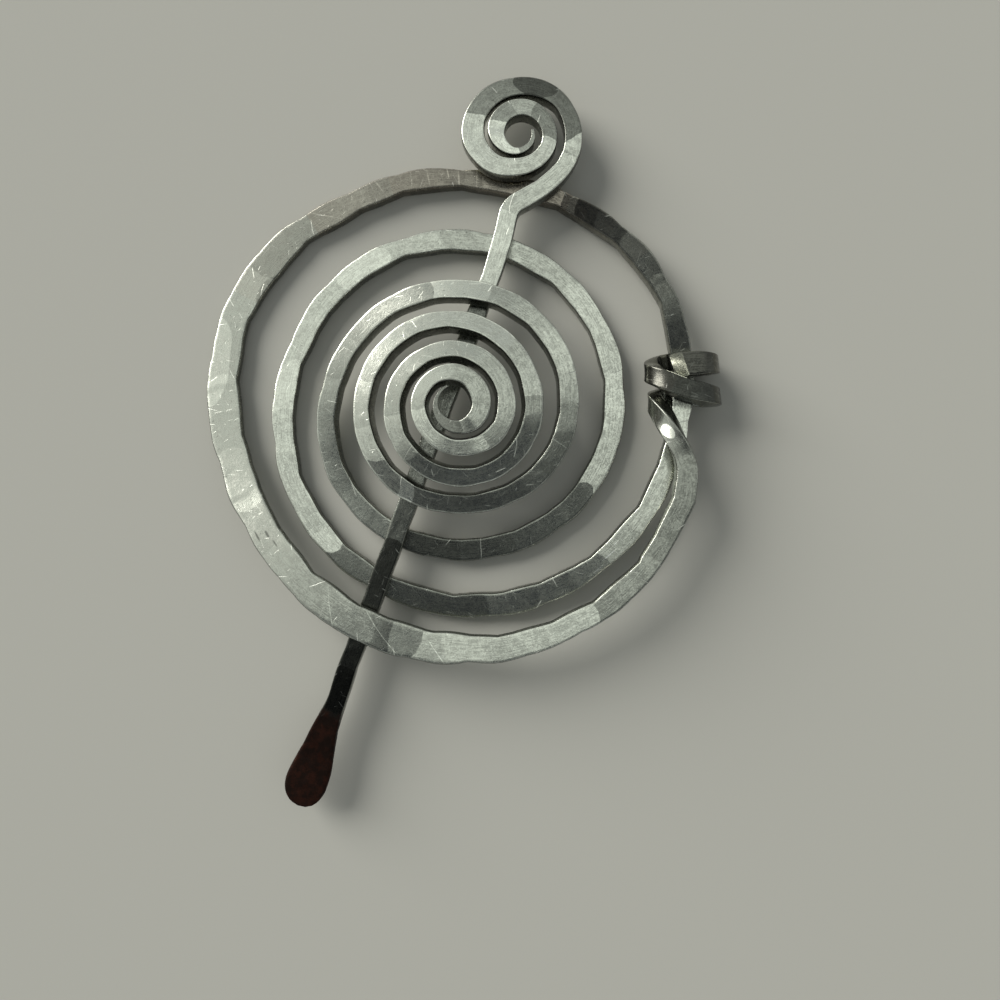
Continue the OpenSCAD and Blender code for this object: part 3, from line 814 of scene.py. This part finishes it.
def hammer_wire(name, sections, facets, sizes, seed, material, swell, cut=(0, 0, 0)):
    """Makes one wire from its sections, as a plain mesh at the origin. Cut is the slant of its last end."""
    shares = [max(0, 1 - (len(sections) - 1 - k) / CUT_POINTS) for k in range(len(sections))]
    sections = [(*s[1:], swell(s[0]), [c * share for c in cut]) for s, share in zip(sections, shares)]
    outline = outline_object(sizes.top_cells, UNDER_CELLS)
    wire = bpy.data.objects.new(name, guide_mesh(name, sections))
    for thing in (outline, wire):
        bpy.context.scene.collection.objects.link(thing)
    tree = hammered_wire_tree()
    hammer = wire.modifiers.new("Hammered wire", "NODES")
    hammer.node_group = tree
    values = {"Outline": outline, "Seed": seed, "Metal": material}
    # The tree's other inputs are named as the sizes are
    for label in sizes.__annotations__:
        values[label.replace("_", " ").title()] = getattr(sizes, label)
    for item in tree.interface.items_tree:
        if item.in_out == "INPUT" and item.name in values:
            hammer[item.identifier] = values[item.name]
    evaluated = wire.evaluated_get(bpy.context.evaluated_depsgraph_get())
    made = bpy.data.meshes.new_from_object(evaluated)
    guide = wire.data
    wire.modifiers.clear()
    wire.data = made
    bpy.data.meshes.remove(guide)
    bpy.data.meshes.remove(outline.data)
    if not made.polygons:
        raise RuntimeError(f"{name} came out empty")
    lay_facets(made, facets)
    return wire


# What a user can change

class HammeredWireSizes(bpy.types.PropertyGroup):
    step: bpy.props.FloatProperty(
        name="Step", description="Distance between the sections along a wire",
        default=0.0004, min=0.0002, max=0.002, unit="LENGTH")
    top_cells: bpy.props.IntProperty(
        name="Cells Across", description="Cells across the face of a band",
        default=12, min=4, max=24)
    blow_length: bpy.props.FloatProperty(
        name="Blow Length", description="Length of wire that one hammer blow flattens",
        default=0.0062, min=0.002, max=0.02, unit="LENGTH")
    blow_spread: bpy.props.FloatProperty(
        name="Blow Spread", description="Reach of one hammer blow across a band",
        default=0.011, min=0.003, max=0.05, unit="LENGTH")
    blow_depth: bpy.props.FloatProperty(
        name="Blow Depth", description="How hollow one hammer blow is",
        default=0.00005, min=0.0, max=0.0005, unit="LENGTH")
    blow_slope: bpy.props.FloatProperty(
        name="Blow Slope", description="Steepest slope that a hammer blow leaves on the face",
        default=0.012, min=0.0, max=0.2)
    scallop_length: bpy.props.FloatProperty(
        name="Scallop Length", description="Length of one scallop on a band's edge",
        default=0.0085, min=0.002, max=0.02, unit="LENGTH")


class AluminiumFinish(bpy.types.PropertyGroup):
    colour: bpy.props.FloatVectorProperty(
        name="Colour", description="Colour of the clean metal",
        default=(0.73, 0.75, 0.67, 1.0), size=4, min=0.0, max=1.0, subtype="COLOR")
    roughness: bpy.props.FloatProperty(
        name="Roughness", description="Roughness of the satin metal",
        default=0.18, min=0.0, max=1.0, subtype="FACTOR")
    brown_tip_from: bpy.props.FloatProperty(
        name="Brown Tip From", description="Place along the stick past which its tip has gone brown",
        default=-0.0495, min=-0.07, max=0.0, unit="LENGTH")


class StudioLook(bpy.types.PropertyGroup):
    floor_colour: bpy.props.FloatVectorProperty(
        name="Floor Colour", description="Colour of the floor",
        default=(0.55, 0.55, 0.5, 1.0), size=4, min=0.0, max=1.0, subtype="COLOR")
    window_light: bpy.props.FloatProperty(
        name="Window Light", description="Strength of the wide soft light from the upper left",
        default=3.3, min=0.0, max=20.0)
    room_light: bpy.props.FloatProperty(
        name="Room Light", description="Brightness of the room that the metal reflects",
        default=1.0, min=0.0, max=5.0)


# Making the pieces

class SHAWLPIN_OT_brooch(bpy.types.Operator):
    """Make the spiral brooch: dome, open turns, outer ring and wrapped end, all one wire"""

    bl_idname = "shawl_pin.brooch"
    bl_label = "Make Brooch"

    def execute(self, context):
        finish = context.scene.aluminium_finish
        sections = brooch_sections()
        lengths = WireLengths(sections)

        marks = [(lengths.at(row[0]), row[1], row[2] * MM, row[3] * MM, *row[4:]) for row in RING_MARKS]
        metal = aluminium("hammered_aluminium", tuple(finish.colour), finish.roughness, marks)
        facets = hammered_facets(TURN_FACETS, lengths, seed=4)
        wire = hammer_wire("brooch_wire", sections, facets, context.scene.hammered_wire, seed=2.0,
                           material=metal, swell=ring_swell, cut=STUB_CUT)
        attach(wire, "brooch")
        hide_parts("spiral_wire")
        return {"FINISHED"}


class SHAWLPIN_OT_stick(bpy.types.Operator):
    """Make the stick pin: broad tip, shaft, S-shaped neck and spiral head, all one wire"""

    bl_idname = "shawl_pin.stick"
    bl_label = "Make Stick"

    def execute(self, context):
        finish = context.scene.aluminium_finish
        metal = aluminium("tarnished_aluminium", tuple(finish.colour), finish.roughness, marks=[],
                          brown_from=finish.brown_tip_from)
        sections = stick_sections()
        facets = hammered_facets(STICK_FACETS, WireLengths(sections), seed=7)
        wire = hammer_wire("stick_wire", sections, facets, context.scene.hammered_wire, seed=5.0,
                           material=metal, swell=stick_swell)
        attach(wire, "stick")
        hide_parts("stick_pin")
        return {"FINISHED"}


# The camera hangs straight above the pin. Place in metres, lens in millimetres
CAMERA_PLACE = Vector((0.011, -0.01098, 0.1312))
CAMERA_LENS = 29.88

# The window's light comes from the photograph's upper left, and spreads over so many degrees
WINDOW_PLACE = -RIGHT + 0.73 * UPWARD + Vector((0, 0, 0.6))
WINDOW_COLOUR = (1.0, 0.98, 0.93)
WINDOW_SPREAD = 40
FLOOR_REACH = 6.0

# Tones of the room, as the metal mirrors them
CEILING = (0.76, 0.8, 0.75, 1.0)
CEILING_LEFT = (0.62, 0.65, 0.61, 1.0)
CEILING_TOP = (0.3, 0.32, 0.32, 1.0)
DARK_PARTS = (0.045, 0.05, 0.055, 1.0)
FAR_RIGHT = (0.42, 0.44, 0.43, 1.0)
FAR_LEFT = (0.75, 0.78, 0.74, 1.0)
WINDOW_TONE = (1.0, 1.03, 0.97, 1.0)

# What the room gives to matt surfaces, and what shows behind the floor
ROOM_FILL = (0.25, 0.26, 0.26, 1.0)
BACKDROP = (0.43, 0.425, 0.38, 1.0)


def room_world(strength):
    """The room above the pin: a pale ceiling with darker parts round it, and a window at the upper left.

    A direction is (u, v): how far it slants to the photograph's right and upper side, as tangents.
    """
    world = bpy.data.worlds.new("Room")
    world.use_nodes = True
    w = Wiring(world.node_tree)
    background = world.node_tree.nodes["Background"]
    way = w.add("ShaderNodeTexCoord").outputs["Generated"]
    height = w.math("MAXIMUM", w.parts(way)[2], 0.02)
    u = w.math("DIVIDE", w.vector("DOT_PRODUCT", way, RIGHT), height)
    v = w.math("DIVIDE", w.vector("DOT_PRODUCT", way, UPWARD), height)
    reach = w.math("SQRT", w.plus(w.times(u, u), w.times(v, v)))
    below = w.fade(v, -0.12, -0.2)
    overhead = w.times(w.fade(v, 0.03, -0.02), w.times(w.fade(u, -0.2, -0.15), w.fade(u, 0.15, 0.1)))
    low_right = w.times(w.fade(u, 0.2, 0.35), w.fade(v, 0.12, 0.02))
    dark = w.math("MAXIMUM", w.math("MAXIMUM", below, overhead), low_right)
    tone = w.mix(w.fade(u, -0.1, -0.5), CEILING, CEILING_LEFT)
    tone = w.mix(w.fade(v, 0.5, 0.6), tone, CEILING_TOP)
    tone = w.mix(dark, tone, DARK_PARTS)
    far = w.mix(w.fade(w.minus(u, v), 0.5, -1.5), FAR_RIGHT, FAR_LEFT)
    tone = w.mix(w.fade(reach, 0.65, 1.0), tone, far)
    high = w.plus(v, w.times(u, 0.3))
    window = w.times(w.fade(u, -0.55, -0.85), w.fade(high, -0.05, 0.15))
    tone = w.mix(window, tone, WINDOW_TONE)
    ray = w.add("ShaderNodeLightPath").outputs
    tone = w.mix(ray["Is Diffuse Ray"], tone, ROOM_FILL)
    tone = w.mix(ray["Is Camera Ray"], tone, BACKDROP)
    w.feed(background.inputs["Color"], tone)
    w.feed(background.inputs["Strength"], strength)
    return world


class SHAWLPIN_OT_stage(bpy.types.Operator):
    """Set the floor, the room, the window's light and the camera"""

    bl_idname = "shawl_pin.stage"
    bl_label = "Set Stage"

    def execute(self, context):
        scene = context.scene
        look = scene.studio_look
        mesh = bpy.data.meshes.new("floor")
        corners = [(x * FLOOR_REACH, y * FLOOR_REACH, 0) for x, y in ((-1, -1), (1, -1), (1, 1), (-1, 1))]
        mesh.from_pydata(corners, [], [(0, 1, 2, 3)])
        floor = bpy.data.objects.new("floor", mesh)
        scene.collection.objects.link(floor)
        matt = bpy.data.materials.new("pale_floor")
        matt.use_nodes = True
        shader = matt.node_tree.nodes["Principled BSDF"]
        shader.inputs["Base Color"].default_value = look.floor_colour
        shader.inputs["Roughness"].default_value = 0.9
        shader.inputs["Specular IOR Level"].default_value = 0.1
        mesh.materials.append(matt)

        scene.view_settings.view_transform = "Standard"
        scene.world = room_world(look.room_light)
        window = bpy.data.lights.new("window", "SUN")
        window.energy = look.window_light
        window.angle = math.radians(WINDOW_SPREAD)
        window.color = WINDOW_COLOUR
        lamp = bpy.data.objects.new("window", window)
        lamp.location = WINDOW_PLACE
        lamp.rotation_euler = (-WINDOW_PLACE).to_track_quat("-Z", "Y").to_euler()
        scene.collection.objects.link(lamp)

        lens = bpy.data.cameras.new("camera")
        lens.sensor_width = 36
        lens.lens = CAMERA_LENS
        lens.clip_start = 0.01
        camera = bpy.data.objects.new("camera", lens)
        camera.location = CAMERA_PLACE
        camera.rotation_euler = (0, 0, PHOTO_TURN)
        scene.collection.objects.link(camera)
        scene.camera = camera
        return {"FINISHED"}


class SHAWLPIN_PT_panel(bpy.types.Panel):
    """Sizes, finish and stage of the shawl pin"""

    bl_idname = "SHAWLPIN_PT_panel"
    bl_label = "Shawl Pin"
    bl_space_type = "VIEW_3D"
    bl_region_type = "UI"
    bl_category = "Shawl Pin"

    def draw(self, context):
        column = self.layout.column()
        for group in ("hammered_wire", "aluminium_finish", "studio_look"):
            settings = getattr(context.scene, group)
            for label in settings.__annotations__:
                column.prop(settings, label)
        for operator in (SHAWLPIN_OT_brooch, SHAWLPIN_OT_stick, SHAWLPIN_OT_stage):
            column.operator(operator.bl_idname)


CLASSES = (
    HammeredWireSizes, AluminiumFinish, StudioLook,
    SHAWLPIN_OT_brooch, SHAWLPIN_OT_stick, SHAWLPIN_OT_stage, SHAWLPIN_PT_panel,
)


def register():
    for cls in CLASSES:
        bpy.utils.register_class(cls)
    bpy.types.Scene.hammered_wire = bpy.props.PointerProperty(type=HammeredWireSizes)
    bpy.types.Scene.aluminium_finish = bpy.props.PointerProperty(type=AluminiumFinish)
    bpy.types.Scene.studio_look = bpy.props.PointerProperty(type=StudioLook)


def unregister():
    del bpy.types.Scene.studio_look
    del bpy.types.Scene.aluminium_finish
    del bpy.types.Scene.hammered_wire
    for cls in reversed(CLASSES):
        bpy.utils.unregister_class(cls)


def main():
    register()
    bpy.ops.shawl_pin.brooch()
    bpy.ops.shawl_pin.stick()
    bpy.ops.shawl_pin.stage()


if __name__ == "__main__":
    main()
